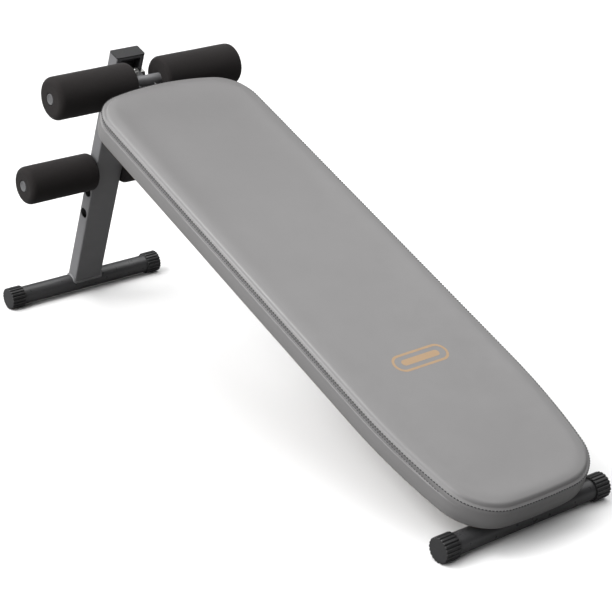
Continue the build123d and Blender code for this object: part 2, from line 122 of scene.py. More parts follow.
def lathe(origin, axis, start_dir, profile, segments, shape=None):
    """Vertices and faces of a closed turned form.

    The profile is (along, radius) pairs that start and end on the axis. shape, where given,
    turns a (radius, along, angle) into the (radius, along) of that one point.
    """
    axis = axis.normalized()
    side = start_dir.normalized()
    up = axis.cross(side)
    verts, faces = [origin + axis * profile[0][0]], []
    rings = []
    for along, radius in profile[1:-1]:
        rings.append(len(verts))
        for i in range(segments):
            angle = 2 * math.pi * i / segments
            r, a = (radius, along) if shape is None else shape(radius, along, angle)
            verts.append(origin + axis * a + side * (r * math.cos(angle)) + up * (r * math.sin(angle)))
    end = len(verts)
    verts.append(origin + axis * profile[-1][0])
    for i in range(segments):
        j = (i + 1) % segments
        faces.append((0, rings[0] + j, rings[0] + i))
        faces.append((end, rings[-1] + i, rings[-1] + j))
    for a, b in zip(rings, rings[1:]):
        faces += ring_faces(segments, a, b)
    return verts, faces


def arc_points(centre, radius, start, stop, count):
    """Points of an arc in (along, radius) coordinates, angles in degrees."""
    out = []
    for i in range(count):
        angle = math.radians(start + (stop - start) * i / (count - 1))
        out.append((centre[0] + radius * math.cos(angle), centre[1] + radius * math.sin(angle)))
    return out


def tube_along(points, radius, closed, sides=8, ripple=None):
    """A tube along a list of points, its radius times ripple(number of the point)."""
    count = len(points)
    verts, faces = [], []
    normal = None
    for i, p in enumerate(points):
        before = points[i - 1] if (closed or i > 0) else p
        after = points[(i + 1) % count] if (closed or i < count - 1) else p
        tangent = (after - before).normalized()
        if normal is None:
            normal = tangent.orthogonal().normalized()
        normal = (normal - tangent * normal.dot(tangent)).normalized()
        binormal = tangent.cross(normal)
        r = radius if ripple is None else radius * ripple(i)
        for k in range(sides):
            angle = 2 * math.pi * k / sides
            verts.append(p + (normal * math.cos(angle) + binormal * math.sin(angle)) * r)
    last = count if closed else count - 1
    for i in range(last):
        j = (i + 1) % count
        for k in range(sides):
            m = (k + 1) % sides
            faces.append((i * sides + k, i * sides + m, j * sides + m, j * sides + k))
    if not closed:
        faces.append(tuple(reversed(range(sides))))
        faces.append(tuple((count - 1) * sides + k for k in range(sides)))
    return verts, faces


def joined(parts):
    """Several (verts, faces) lists as one."""
    verts, faces = [], []
    for part_verts, part_faces in parts:
        shift = len(verts)
        verts += part_verts
        faces += [tuple(shift + i for i in face) for face in part_faces]
    return verts, faces


# ------------------------------------------------------------------ materials


class Shader:
    """A Principled material built node by node, with object coordinates in metres."""

    def __init__(self, name):
        self.material = bpy.data.materials.new(name)
        self.material.use_nodes = True
        self.tree = self.material.node_tree
        self.bsdf = self.tree.nodes["Principled BSDF"]
        self.coords = self.tree.nodes.new("ShaderNodeTexCoord").outputs["Object"]

    def value(self, socket, number):
        self.bsdf.inputs[socket].default_value = number

    def link(self, output, socket):
        self.tree.links.new(output, socket)

    def stretched(self, scale):
        """Object coordinates scaled along each axis, for grain that runs one way."""
        mapping = self.tree.nodes.new("ShaderNodeMapping")
        mapping.inputs["Scale"].default_value = scale
        self.link(self.coords, mapping.inputs["Vector"])
        return mapping.outputs["Vector"]

    def noise(self, scale, detail=3.0, rough=0.5, vector=None):
        """Smooth noise with scale patches in a metre, or on other coordinates."""
        node = self.tree.nodes.new("ShaderNodeTexNoise")
        node.inputs["Scale"].default_value = scale
        node.inputs["Detail"].default_value = detail
        node.inputs["Roughness"].default_value = rough
        self.link(self.coords if vector is None else vector, node.inputs["Vector"])
        return node.outputs["Fac"]

    def cells(self, scale):
        """Distance from the middles of small cells, scale of them in a metre."""
        node = self.tree.nodes.new("ShaderNodeTexVoronoi")
        node.inputs["Scale"].default_value = scale
        self.link(self.coords, node.inputs["Vector"])
        return node.outputs["Distance"]

    def ramp(self, fac, low, high, start=0.0, stop=1.0):
        """A number output brought from start..stop to low..high."""
        node = self.tree.nodes.new("ShaderNodeMapRange")
        node.inputs["From Min"].default_value = start
        node.inputs["From Max"].default_value = stop
        node.inputs["To Min"].default_value = low
        node.inputs["To Max"].default_value = high
        self.link(fac, node.inputs["Value"])
        return node.outputs["Result"]

    def mix(self, fac, first, second):
        """Blend of two colours by a number output."""
        node = self.tree.nodes.new("ShaderNodeMix")
        node.data_type = "RGBA"
        self.link(fac, node.inputs["Factor"])
        for socket, colour in (("A", first), ("B", second)):
            target = [s for s in node.inputs if s.name == socket and s.type == "RGBA"][0]
            if isinstance(colour, tuple):
                target.default_value = (*colour, 1.0)
            else:
                self.link(colour, target)
        return [s for s in node.outputs if s.type == "RGBA"][0]

    def math(self, operation, a, b):
        """A sum or product of two outputs or numbers."""
        node = self.tree.nodes.new("ShaderNodeMath")
        node.operation = operation
        for socket, item in zip(node.inputs, (a, b)):
            if isinstance(item, (int, float)):
                socket.default_value = item
            else:
                self.link(item, socket)
        return node.outputs[0]

    def bump(self, height, distance, strength=1.0, under=None):
        """A normal from a height, distance metres deep, laid over another normal."""
        node = self.tree.nodes.new("ShaderNodeBump")
        node.inputs["Distance"].default_value = distance
        node.inputs["Strength"].default_value = strength
        self.link(height, node.inputs["Height"])
        if under is not None:
            self.link(under, node.inputs["Normal"])
        return node.outputs["Normal"]

    def use(self, colour, roughness=None, normal=None):
        """Wire the outputs to the surface, and return the material."""
        for output, socket in ((colour, "Base Color"), (roughness, "Roughness"), (normal, "Normal")):
            if output is not None:
                self.link(output, self.bsdf.inputs[socket])
        return self.material


def vinyl(name, dark, light, rough):
    """Soft upholstery vinyl with a fine pebbled grain."""
    s = Shader(name)
    mottle = s.noise(9.0, 4.0, 0.55)
    colour = s.mix(mottle, dark, light)
    roughness = s.ramp(s.noise(35.0, 4.0, 0.6), rough - 0.05, rough + 0.06, 0.3, 0.7)
    grain = s.bump(s.cells(780.0), 0.00006, 0.35)
    creases = s.bump(s.noise(170.0, 5.0, 0.6), 0.00012, 0.25, grain)
    s.value("Specular IOR Level", 0.38)
    s.value("Coat Weight", 0.12)
    s.value("Coat Roughness", 0.3)
    return s.use(colour, roughness, creases)


def painted(name, dark, light, rough):
    """Powder coat on steel tube: faint orange peel and slightly uneven gloss."""
    s = Shader(name)
    colour = s.mix(s.noise(24.0, 3.0, 0.5), dark, light)
    roughness = s.ramp(s.noise(60.0, 4.0, 0.6), rough - 0.06, rough + 0.07, 0.3, 0.7)
    peel = s.bump(s.noise(1500.0, 2.0, 0.5), 0.00004, 0.5)
    return s.use(colour, roughness, peel)


def foam_rubber(name, dark, light):
    """Closed-cell foam with a dry skin and fine open pores."""
    s = Shader(name)
    colour = s.mix(s.noise(900.0, 3.0, 0.7), dark, light)
    pores = s.bump(s.cells(1300.0), 0.00018, 0.6)
    lumps = s.bump(s.noise(120.0, 4.0, 0.6), 0.0004, 0.35, pores)
    roughness = s.ramp(s.noise(400.0, 2.0), 0.86, 0.98)
    s.value("Specular IOR Level", 0.25)
    s.value("Sheen Weight", 0.08)
    s.value("Sheen Roughness", 0.35)
    return s.use(colour, roughness, lumps)


def moulded(name, dark, light, rough, grain=900.0):
    """Moulded plastic with a fine spark-eroded texture."""
    s = Shader(name)
    colour = s.mix(s.noise(45.0, 3.0), dark, light)
    roughness = s.ramp(s.noise(220.0, 3.0), rough - 0.05, rough + 0.06, 0.3, 0.7)
    texture = s.bump(s.noise(grain, 3.0, 0.6), 0.00005, 0.6)
    return s.use(colour, roughness, texture)


def plated(name, dark, light, rough):
    """Bright zinc plating with fine turning marks."""
    s = Shader(name)
    colour = s.mix(s.noise(260.0, 3.0), dark, light)
    marks = s.noise(1.0, 4.0, 0.7, s.stretched((4000.0, 300.0, 300.0)))
    roughness = s.ramp(marks, rough - 0.08, rough + 0.1, 0.3, 0.7)
    s.value("Metallic", 1.0)
    return s.use(colour, roughness, s.bump(marks, 0.00002, 0.4))


def plywood(name):
    """Plywood underside with grain running up the slope."""
    s = Shader(name)
    grain = s.noise(1.0, 6.0, 0.65, s.stretched((140.0, 6.0, 6.0)))
    broad = s.noise(1.0, 3.0, 0.5, s.stretched((18.0, 1.5, 1.5)))
    both = s.math("ADD", s.math("MULTIPLY", grain, 0.6), s.math("MULTIPLY", broad, 0.4))
    colour = s.mix(s.ramp(both, 0.0, 1.0, 0.3, 0.7), (0.23, 0.135, 0.065), (0.44, 0.30, 0.17))
    roughness = s.ramp(grain, 0.6, 0.8)
    return s.use(colour, roughness, s.bump(grain, 0.0002, 0.4))


VINYL = vinyl("pad_vinyl_grain", (0.150, 0.147, 0.147), (0.172, 0.169, 0.169), 0.34)
THREAD = moulded("stitch_thread", (0.012, 0.012, 0.0125), (0.03, 0.03, 0.031), 0.8, 5000.0)
FRAME_PAINT = painted("frame_powder_coat", (0.132, 0.132, 0.136), (0.160, 0.160, 0.165), 0.40)
# The feet carry the same powder coat as the post; this darker copy of it is painted shade for the feet
# low by the floor.
FEET_PAINT_SHADED = painted("feet_powder_coat_painted_shade", (0.041, 0.041, 0.0425), (0.052, 0.052, 0.054), 0.31)
ROLLER_FOAM = foam_rubber("roller_foam_black", (0.0085, 0.0072, 0.0071), (0.0185, 0.0160, 0.0158))
BLACK_PLASTIC = moulded("cap_plastic_black", (0.014, 0.014, 0.0145), (0.021, 0.021, 0.022), 0.36)
GREY_PLASTIC = moulded("plug_plastic_grey", (0.085, 0.085, 0.088), (0.11, 0.11, 0.114), 0.45)
ZINC = plated("zinc_plate", (0.50, 0.50, 0.49), (0.66, 0.66, 0.64), 0.34)
BOARD = plywood("board_plywood")
PRINT = moulded("pad_print_tan", (0.285, 0.190, 0.106), (0.335, 0.223, 0.123), 0.5)

CAD_LOOKS = {
    FRAME_PAINT: [
        "main_beam",
        "post_tube",
        "upper_bar_saddle",
        "pad_bracket_front",
        "pad_bracket_rear",
        "upper_roller_bar",
        "lower_roller_bar",
    ],
    # the feet get the darker, painted-shade copy of the frame's powder coat
    FEET_PAINT_SHADED: ["front_foot_tube", "rear_foot_tube"],
    BLACK_PLASTIC: ["post_top_cap"],
    ZINC: ["pivot_washers", "pivot_sleeve", "saddle_washers", "pad_tee_nuts"],
    BOARD: ["pad_board"],
}
for look, names in CAD_LOOKS.items():
    for name in names:
        for material_slot in nodes[name].material_slots:
            material_slot.material = look

# ------------------------------------------------------------------ pad outline

# The pad's millimetres. The bows are the radii of its two ends, and the sides curve in
# below the taper's start.
PAD_HALF_LENGTH = 595.5
PAD_HALF_WIDTH = 176.0
HIGH_BOW = 530.0
HIGH_CORNER = 82.0
LOW_BOW = 1125.0
LOW_CORNER = 97.0
TAPER_START = -300.0
TAPER_RADIUS = 1150.0
COLUMN_SPACING = 5.0
LOW_END_START = -380.0
LOW_END_LENGTH = 180.0


def outline_arcs():
    """The right half of the pad's outline, from the low end's middle to the high end's."""
    low_centre = (0.0, LOW_BOW - PAD_HALF_LENGTH)
    taper_centre = (PAD_HALF_WIDTH - TAPER_RADIUS, TAPER_START)
    r_a, r_b = LOW_BOW - LOW_CORNER, TAPER_RADIUS - LOW_CORNER
    dx, dy = taper_centre[0] - low_centre[0], taper_centre[1] - low_centre[1]
    gap = math.hypot(dx, dy)
    along = (r_a**2 - r_b**2 + gap**2) / (2 * gap)
    aside = math.sqrt(r_a**2 - along**2)
    corner = (
        low_centre[0] + dx / gap * along - dy / gap * aside,
        low_centre[1] + dy / gap * along + dx / gap * aside,
    )
    high_centre = (0.0, PAD_HALF_LENGTH - HIGH_BOW)
    corner_x = PAD_HALF_WIDTH - HIGH_CORNER
    high = (corner_x, high_centre[1] + math.sqrt((HIGH_BOW - HIGH_CORNER) ** 2 - corner_x**2))

    def heading(centre, point):
        return math.atan2(point[1] - centre[1], point[0] - centre[0])

    low_angle = heading(low_centre, corner)
    taper_angle = heading(taper_centre, corner)
    high_angle = heading(high_centre, high)
    quarter = math.pi / 2
    return [
        ("arc", low_centre, LOW_BOW, -quarter, low_angle),
        ("arc", corner, LOW_CORNER, low_angle, taper_angle),
        ("arc", taper_centre, TAPER_RADIUS, taper_angle, 0.0),
        ("line", (PAD_HALF_WIDTH, TAPER_START), (PAD_HALF_WIDTH, high[1]), 0.0, 0.0),
        ("arc", high, HIGH_CORNER, 0.0, high_angle),
        ("arc", high_centre, HIGH_BOW, high_angle, quarter),
    ]


def outline_samples():
    """Evenly spaced (x, along, outward x, outward along) round the whole outline."""
    arcs = outline_arcs()
    lengths = []
    for kind, a, b, start, stop in arcs:
        lengths.append(b * (stop - start) if kind == "arc" else math.dist(a, b))
    total = sum(lengths)
    count = round(total / COLUMN_SPACING)
    half = []
    for i in range(count + 1):
        rest = total * i / count
        k = 0
        while k < len(arcs) - 1 and rest > lengths[k]:
            rest -= lengths[k]
            k += 1
        kind, a, b, start, stop = arcs[k]
        share = min(1.0, rest / lengths[k])
        if kind == "arc":
            angle = start + (stop - start) * share
            nx, ny = math.cos(angle), math.sin(angle)
            half.append((a[0] + b * nx, a[1] + b * ny, nx, ny))
        else:
            half.append((a[0] + (b[0] - a[0]) * share, a[1] + (b[1] - a[1]) * share, 1.0, 0.0))
    left = [(-x, y, -nx, ny) for x, y, nx, ny in reversed(half[1:-1])]
    return half + left


OUTLINE = outline_samples()
COLUMNS = len(OUTLINE)


def low_end(y):
    """0 along the pad's sides, rising to 1 round its low end."""
    t = min(1.0, max(0.0, (LOW_END_START - y) / LOW_END_LENGTH))
    return t * t * (3 - 2 * t)


# ------------------------------------------------------------------ pad cover

# Sections of the cover, as (inset from the outline, out of the pad's plane) in millimetres.
# They run from under the board, up the side and over the edge to the middle of the top.
UNDERSIDE_AND_SIDE = [
    (30.0, -43.2),
    (30.0, -44.6),
    (29.2, -45.2),
    (24.0, -45.4),
    (17.0, -45.5),
    (10.0, -45.5),
    (5.0, -45.3),
    (2.0, -44.3),
    (0.6, -42.6),
    (-0.2, -40.0),
    (-0.9, -35.0),
    (-1.4, -29.0),
    (-1.3, -23.0),
    (-1.0, -18.5),
]
# (inset, further inset where the stitches draw it in, out)
DRAWN_BAND = [
    (-0.9, 0.0, -15.6),
    (-0.9, 0.0, -14.0),
    (-0.8, 0.1, -12.9),
    (-0.8, 0.7, -12.3),
    (-0.8, 2.3, -11.8),
    (-0.8, 4.1, -11.3),
    (-0.7, 5.1, -10.6),
    (-0.7, 5.2, -9.7),
    (-0.6, 4.9, -9.0),
    (-0.6, 4.5, -8.2),
    (-0.5, 4.0, -7.4),
    (-0.4, 3.3, -6.3),
    (-0.2, 2.5, -5.2),
    (0.1, 1.6, -4.1),
    (0.5, 0.6, -3.2),
]
STITCHED_LIP = [(0.95, -2.7), (0.7, -2.2), (0.6, -1.6), (1.0, -1.1), (1.9, -0.65)]
ROLL = [
    (2.9, -0.1),
    (4.0, 0.5),
    (5.1, 1.1),
    (6.0, 1.8),
    (6.6, 2.9),
    (7.3, 4.2),
    (8.2, 5.4),
    (9.4, 6.5),
    (11.1, 7.4),
    (13.4, 8.0),
    (16.4, 8.4),
    (20.0, 8.5),
    (26.0, 8.2),
    (34.0, 7.6),
    (44.0, 7.0),
    (55.0, 6.6),
    (66.0, 6.4),
    (76.0, 6.3),
]
CROWN = 0.3
UNDER_STEPS = 3
TOP_STEPS = 9
SPINE_REACH = 470.0


def cover_mesh():
    """The cover's points and faces, its rings' first points, and which ring starts the top."""
    verts, faces = [], []

    def add_ring(inset, out, drawn_in=0.0):
        start = len(verts)
        for x, y, nx, ny in OUTLINE:
            depth = inset + drawn_in * (1.0 - low_end(y))
            verts.append(pad_point(x - nx * depth, y - ny * depth, out))
        return start

    def add_spine(inset, steps, out_start, out_stop):
        """Rings that close towards a line down the pad's middle."""
        starts = []
        for k in range(1, steps + 1):
            t = k / steps
            starts.append(len(verts))
            out = out_start + (out_stop - out_start) * (1 - (1 - t) ** 2)
            for x, y, nx, ny in OUTLINE:
                ex, ey = x - nx * inset, y - ny * inset
                sy = max(-SPINE_REACH, min(SPINE_REACH, ey))
                verts.append(pad_point(ex * (1 - t), ey + (sy - ey) * t, out))
        return starts

    under_inset, under_out = UNDERSIDE_AND_SIDE[0]
    rings = list(reversed(add_spine(under_inset, UNDER_STEPS, under_out, under_out)))
    rings += [add_ring(inset, out) for inset, out in UNDERSIDE_AND_SIDE]
    rings += [add_ring(inset, out, drawn_in) for inset, drawn_in, out in DRAWN_BAND]
    rings += [add_ring(inset, out) for inset, out in STITCHED_LIP]
    panel_first = len(rings)
    rings += [add_ring(inset, out) for inset, out in ROLL]
    top_inset, top_out = ROLL[-1]
    rings += add_spine(top_inset, TOP_STEPS, top_out, top_out + CROWN)
    for a, b in zip(rings, rings[1:]):
        faces += ring_faces(COLUMNS, a, b)
    return verts, faces, rings, panel_first


WELD_GRID = 2e-5
HELD_RINGS = 9
SIM_FRAMES = 20
SIM_CAP = 1.6
LEAST_SWELL = 1e-4


def welded(points, faces):
    """The mesh with coincident points shared, and each old point's new number."""
    numbers, kept, new_number = {}, [], []
    for point in points:
        key = tuple(round(c / WELD_GRID) for c in point)
        if key not in numbers:
            numbers[key] = len(kept)
            kept.append(point)
        new_number.append(numbers[key])
    new_faces = []
    for face in faces:
        corners = []
        for i in face:
            if new_number[i] not in corners:
                corners.append(new_number[i])
        if len(corners) > 2:
            new_faces.append(tuple(corners))
    return kept, new_faces, new_number


def swell(verts, faces, rings, first):
    """Blow up the top panel as cloth held at its seam.

    Returns the panel's first point and its new points, none moved further than SIM_CAP.
    """
    panel_start = rings[first]
    panel = verts[panel_start:]
    panel_faces = [tuple(i - panel_start for i in f) for f in faces if min(f) >= panel_start]
    points, shared_faces, new_number = welded(panel, panel_faces)
    cloth = new_object("cloth_trial", points, shared_faces)
    held = cloth.vertex_groups.new(name="held")
    held.add([new_number[i] for i in range(HELD_RINGS * COLUMNS)], 1.0, "REPLACE")
    modifier = cloth.modifiers.new("cloth", "CLOTH")
    settings = modifier.settings
    settings.quality = 5
    settings.mass = 0.3
    settings.tension_stiffness = 15.0
    settings.compression_stiffness = 15.0
    settings.shear_stiffness = 4.0
    settings.bending_stiffness = 12.0
    settings.use_pressure = True
    settings.uniform_pressure_force = 4.0
    settings.vertex_group_mass = "held"
    settings.effector_weights.gravity = 0.0
    modifier.collision_settings.use_collision = False
    modifier.point_cache.frame_start = 1
    modifier.point_cache.frame_end = SIM_FRAMES
    scene = bpy.context.scene
    for number in range(1, SIM_FRAMES + 1):
        scene.frame_set(number)
    done = cloth.evaluated_get(bpy.context.evaluated_depsgraph_get()).to_mesh()
    moved = np.empty(len(done.vertices) * 3)
    done.vertices.foreach_get("co", moved)
    rest = np.array([tuple(v) for v in points])
    shift = moved.reshape(-1, 3) - rest
    size = np.linalg.norm(shift, axis=1, keepdims=True)
    if not np.isfinite(size).all() or size.max() < LEAST_SWELL:
        raise RuntimeError("the cover's cloth didn't move")
    cap = SIM_CAP * MM
    shift = shift * cap * np.tanh(size / cap) / np.maximum(size, 1e-9)
    bpy.data.objects.remove(cloth)
    scene.frame_set(1)
    return panel_start, np.array([tuple(v) for v in panel]) + shift[new_number]


def settle_duplicates(obj):
    """Share points that lie on each other, and turn every face outward."""
    mesh = bmesh.new()
    mesh.from_mesh(obj.data)
    bmesh.ops.remove_doubles(mesh, verts=mesh.verts, dist=1e-5)
    bmesh.ops.recalc_face_normals(mesh, faces=mesh.faces)
    mesh.to_mesh(obj.data)
    mesh.free()


def subdivide(obj, levels):
    """Catmull-Clark subdivision, applied to the mesh."""
    modifier = obj.modifiers.new("smooth", "SUBSURF")
    modifier.levels = levels
    modifier.render_levels = levels
    done = bpy.data.meshes.new_from_object(obj.evaluated_get(bpy.context.evaluated_depsgraph_get()))
    obj.modifiers.clear()
    old = obj.data
    obj.data = done
    bpy.data.meshes.remove(old)
    obj.data.polygons.foreach_set("use_smooth", [True] * len(obj.data.polygons))


cover_verts, cover_faces, cover_rings, cover_first = cover_mesh()
panel_start, swollen = swell(cover_verts, cover_faces, cover_rings, cover_first)
for i, point in enumerate(swollen):
    cover_verts[panel_start + i] = Vector(point)
cover = new_object("pad_cover_sewn", cover_verts, cover_faces, VINYL)
settle_duplicates(cover)
bpy.context.view_layer.update()
subdivide(cover, 1)
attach(cover, "bench")
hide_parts("pad_cover", "pad_foam")

cover_tree = BVHTree.FromPolygons(
    [v.co for v in cover.data.vertices], [tuple(p.vertices) for p in cover.data.polygons]
)
RAY_START = 0.03


def on_cover(point, direction, lift=0.0):
    """The point moved along a direction on to the cover, then lifted off along its normal."""
    hit, normal, _, _ = cover_tree.ray_cast(point - direction * RAY_START, direction)
    if hit is None:
        hit, normal, _, _ = cover_tree.find_nearest(point)
    return hit + normal * lift, normal


# ------------------------------------------------------------------ stitches

STITCH_PITCH = 6.2
STITCH_LENGTH = 3.9
STITCH_BOW = 0.3
STITCH_SIDES = 6
STITCH_OUTSIDE = 12.0
LIP_DROP = 1.1
LIP_THREAD = 0.9
BAND_DROP = 10.7
BAND_THREAD = 0.55
BAND_STOPS_AT = 0.75


def thread(start, stop, radius, bow):
    """A short thread between two points that bows out in the middle and narrows at its ends."""
    points, widths = [], []
    for t, width in ((0.0, 0.45), (0.12, 1.0), (0.5, 1.0), (0.88, 1.0), (1.0, 0.45)):
        points.append(start.lerp(stop, t) + bow * math.sin(math.pi * t))
        widths.append(width)
    return tube_along(points, radius, False, STITCH_SIDES, lambda i: widths[i])


def stitch_row(name, drop, radius, wanted):
    """One row of topstitching below the pad's plane, one thread for each wanted stitch."""
    parts = []
    length = COLUMNS * COLUMN_SPACING
    count = round(length / STITCH_PITCH)
    for i in range(count):
        ends = []
        for offset in (-0.5, 0.5):
            place = (i * STITCH_PITCH + offset * STITCH_LENGTH) / length * COLUMNS
            a = int(math.floor(place)) % COLUMNS
            b = (a + 1) % COLUMNS
            t = place - math.floor(place)
            x, y, nx, ny = [p * (1 - t) + q * t for p, q in zip(OUTLINE[a], OUTLINE[b])]
            outside = pad_point(x + nx * STITCH_OUTSIDE, y + ny * STITCH_OUTSIDE, -drop)
            inward = -(ACROSS * nx + PAD_ALONG * ny)
            ends.append((*on_cover(outside, inward), y))
        (first, normal_a, y_a), (last, normal_b, _) = ends
        if wanted(y_a):
            out = ((normal_a + normal_b) / 2).normalized()
            parts.append(thread(first, last, radius * MM, out * (STITCH_BOW * MM)))
    verts, faces = joined(parts)
    piece = new_object(name, verts, faces, THREAD, "bench")


stitch_row("pad_lip_stitching", LIP_DROP, LIP_THREAD, lambda y: True)
stitch_row("pad_lower_stitching", BAND_DROP, BAND_THREAD, lambda y: low_end(y) < BAND_STOPS_AT)

# ------------------------------------------------------------------ staples under the pad

STAPLE_PITCH = 38.0
STAPLE_INSET = 19.0
STAPLE_WIRE = 0.4
# (along the staple, out of the pad's plane): leg, crown and leg, sunk in the cover
STAPLE_SHAPE = [(-5.0, -44.9), (-5.0, -45.9), (-3.0, -46.0), (3.0, -46.0), (5.0, -45.9), (5.0, -44.9)]


def staples():
    """Wire staples that hold the cover's turned edge on the board."""
    parts = []
    length = COLUMNS * COLUMN_SPACING
    count = round(length / STAPLE_PITCH)
    for i in range(count):
        place = i * STAPLE_PITCH / length * COLUMNS
        x, y, nx, ny = OUTLINE[int(place) % COLUMNS]
        turn = rng.uniform(-0.25, 0.25)
        tx = -ny * math.cos(turn) + nx * math.sin(turn)
        ty = nx * math.cos(turn) + ny * math.sin(turn)
        inset = STAPLE_INSET + rng.uniform(-1.5, 1.5)
        cx, cy = x - nx * inset, y - ny * inset
        points = [pad_point(cx + tx * along, cy + ty * along, out) for along, out in STAPLE_SHAPE]
        parts.append(tube_along(points, STAPLE_WIRE * MM, False, 5))
    verts, faces = joined(parts)
    return new_object("pad_staples", verts, faces, ZINC, "bench")


staples()

# ------------------------------------------------------------------ printed device on the pad

PRINT_Y = -250.0
PRINT_LIFT = 0.00012
ABOVE_PAD = 30.0
END_POINTS = 25
SIDE_STEPS = 20
PRINT_ROWS = 3


def print_loop(half_width, inner, outer, filled=False):
    """A flat band on the pad along a rounded bar's outline, its middle closed where filled.

    inner and outer are how far the band's edges stand from the bar's middle line.
    """
    straight = half_width - outer
    edge = []
    for sign in (1, -1):
        for k in range(END_POINTS):
            angle = math.radians(-90 + 180 * k / (END_POINTS - 1))
            edge.append((sign * straight, sign * math.cos(angle), sign * math.sin(angle)))
        for k in range(1, SIDE_STEPS):
            edge.append((sign * straight * (1 - 2 * k / SIDE_STEPS), 0.0, sign * 1.0))
    verts, faces = [], []
    for k in range(PRINT_ROWS + 1):
        radius = inner + (outer - inner) * k / PRINT_ROWS
        for base, cx, cy in edge:
            spot = pad_point(base + radius * cx, PRINT_Y + radius * cy, ABOVE_PAD)
            verts.append(on_cover(spot, -PAD_NORMAL, PRINT_LIFT)[0])
    count = len(edge)
    for k in range(PRINT_ROWS):
        faces += ring_faces(count, k * count, (k + 1) * count)
    if filled:
        half = count // 2
        for start in (0, half):
            faces.append(tuple(reversed(range(start, start + END_POINTS))))
        first = END_POINTS - 1
        for k in range(SIDE_STEPS):
            faces.append((first + k + 1, first + k, (count - k) % count, count - k - 1))
    return verts, faces


print_parts = [print_loop(60.0, 15.5, 20.5), print_loop(42.0, 1.5, 7.0, filled=True)]
device = new_object("pad_print", *joined(print_parts), PRINT, "bench")

# ------------------------------------------------------------------ foam rollers and bar plugs

FOAM_BORE = 0.0113
FOAM_OUTER_EDGE = 0.0125
FOAM_INNER_EDGE = 0.008
FOAM_STEPS = 36
FOAM_SEGMENTS = 96
FOAM_WAVE = 0.00016
# (waves in a turn, twist along the roller, share)
FOAM_WAVES = [(2, 11, 1.0), (3, -23, 0.6), (5, 47, 0.5), (9, 90, 0.35)]


def roller(name, side, body):
    """A foam roller with soft shoulders and a slightly uneven skin."""
    low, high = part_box(name)
    centre = (low + high) / 2
    radius = (high.z - low.z) / 2
    inner = min(abs(low.x), abs(high.x))
    outer = max(abs(low.x), abs(high.x))
    length = outer - inner
    origin = Vector((side * inner, centre.y, centre.z))
    edge_out, edge_in = FOAM_OUTER_EDGE, FOAM_INNER_EDGE
    profile = [(0.0, FOAM_BORE + 0.002)]
    profile += [(0.0, FOAM_BORE + (radius - edge_in - FOAM_BORE) * t) for t in (0.35, 0.7, 0.95)]
    profile += arc_points((edge_in, radius - edge_in), edge_in, 180, 90, 7)
    for i in range(1, FOAM_STEPS):
        profile.append((edge_in + (length - edge_in - edge_out) * i / FOAM_STEPS, radius))
    profile += arc_points((length - edge_out, radius - edge_out), edge_out, 90, 0, 9)
    face = radius - edge_out - FOAM_BORE
    profile += [(length, FOAM_BORE + face * t) for t in (0.95, 0.6, 0.25, 0.08)]
    profile += [(length - 0.0012, FOAM_BORE + 0.0002), (length - 0.006, FOAM_BORE)]
    profile += [(length * 0.5, FOAM_BORE), (0.006, FOAM_BORE), (0.0006, FOAM_BORE + 0.0004)]
    draws = [(rng.uniform(0, 6.28), rng.uniform(0.6, 1.4)) for _ in range(5)]

    def uneven(r, along, angle):
        """The radius, less a shallow waviness that grows towards the skin."""
        share = max(0.0, (r - FOAM_BORE) / (radius - FOAM_BORE)) ** 2
        wave = 0.0
        for (turns, twist, weight), (phase, stretch) in zip(FOAM_WAVES, draws):
            wave += weight * math.sin(turns * angle + phase + along * twist * stretch)
        return r - share * FOAM_WAVE * (2.2 + wave)

    axis = Vector((side, 0, 0))
    up = Vector((0, 1, 0))
    cross = axis.cross(up)
    verts, faces, starts = [], [], []
    for along, ring_radius in profile:
        starts.append(len(verts))
        for i in range(FOAM_SEGMENTS):
            angle = 2 * math.pi * i / FOAM_SEGMENTS
            r = uneven(ring_radius, along, angle)
            around = up * (r * math.cos(angle)) + cross * (r * math.sin(angle))
            verts.append(origin + axis * along + around)
    for a, b in zip(starts, starts[1:] + starts[:1]):
        faces += ring_faces(FOAM_SEGMENTS, a, b)
    piece = new_object(name + "_soft", verts, faces, ROLLER_FOAM)
    settle_duplicates(piece)
    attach(piece, body)
    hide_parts(name)


PLUG_RIM = 0.0009
PLUG_INSIDE = 0.0093


def plug(name, side, body):
    """A bar end plug: a dished face, a rounded rim over the bar's end and a core inside it."""
    low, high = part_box(name)
    centre = (low + high) / 2
    outer = high.x if side > 0 else low.x
    origin = Vector((outer, centre.y, centre.z))
    axis = Vector((side, 0, 0))
    profile = [(-0.0009, 0.0), (-0.0009, 0.004), (-0.00085, 0.0066), (-0.0005, 0.0076), (-0.0001, 0.0082)]
    profile += arc_points((-PLUG_RIM, 0.0101), PLUG_RIM, 0, 90, 5)
    profile += [(-0.0018, 0.011), (-0.002, 0.0109), (-0.002, PLUG_INSIDE)]
    profile += [(-0.0138, PLUG_INSIDE), (-0.014, 0.009), (-0.014, 0.0)]
    verts, faces = lathe(origin, axis, Vector((0, 1, 0)), profile, 64)
    piece = new_object(name + "_moulded", verts, faces, GREY_PLASTIC)
    settle_duplicates(piece)
    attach(piece, body)
    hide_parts(name)


for level, bar_body in (("upper", "bench"), ("lower", "post")):
    for side_name, sign in (("left", -1), ("right", 1)):
        roller(f"{level}_foam_{side_name}", sign, f"{level}_roller_{side_name}")
        plug(f"{level}_bar_plug_{side_name}", sign, bar_body)

# ------------------------------------------------------------------ foot caps

CAP_RIBS = 20
CAP_SAMPLES = 14
CAP_BORE = 0.01905
CAP_FACE_WALL = 0.003
CAP_OUTER_ROUND = 0.0014
CAP_MOUTH_ROUND = 0.0016
RIB_FOOT = 0.0194
RIB_DEPTH = 0.0024
VALLEY_WIDTH = 0.5


